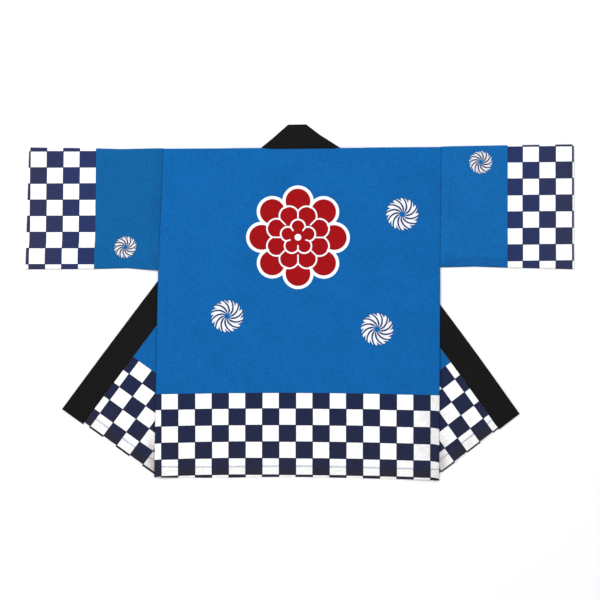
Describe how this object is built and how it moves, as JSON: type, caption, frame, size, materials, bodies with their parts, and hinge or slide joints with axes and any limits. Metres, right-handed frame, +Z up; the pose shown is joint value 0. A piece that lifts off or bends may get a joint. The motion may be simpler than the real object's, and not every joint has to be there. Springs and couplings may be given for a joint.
{
  "type": "happi coat",
  "caption": "Hip-length happi coat with a checked hem and cuffs, lying flat with its back up and its fronts turned outward.",
  "frame": {"origin": "on the surface the coat lies on, under the middle of its outline", "axes": "+X towards the wearer's right cuff, along the sleeves; +Y from the hem to the neck; +Z up, out of the coat's back"},
  "size_m": [1.313, 0.8533, 0.007],
  "materials": {
    "back_cloth": "matt plain-weave cotton, blue with a white and navy checked hem",
    "front_cloth": "matt plain-weave cotton, blue with a white and navy checked hem",
    "sleeve_cloth": "matt plain-weave cotton, blue with a white and navy checked cuff",
    "collar_cloth": "matt black plain-weave cotton"
  },
  "bodies": {
    "root": {"back": "back_cloth", "front_left": "front_cloth", "front_right": "front_cloth", "sleeve_left": "sleeve_cloth", "sleeve_right": "sleeve_cloth", "collar": "collar_cloth"}
  },
  "joints": []
}
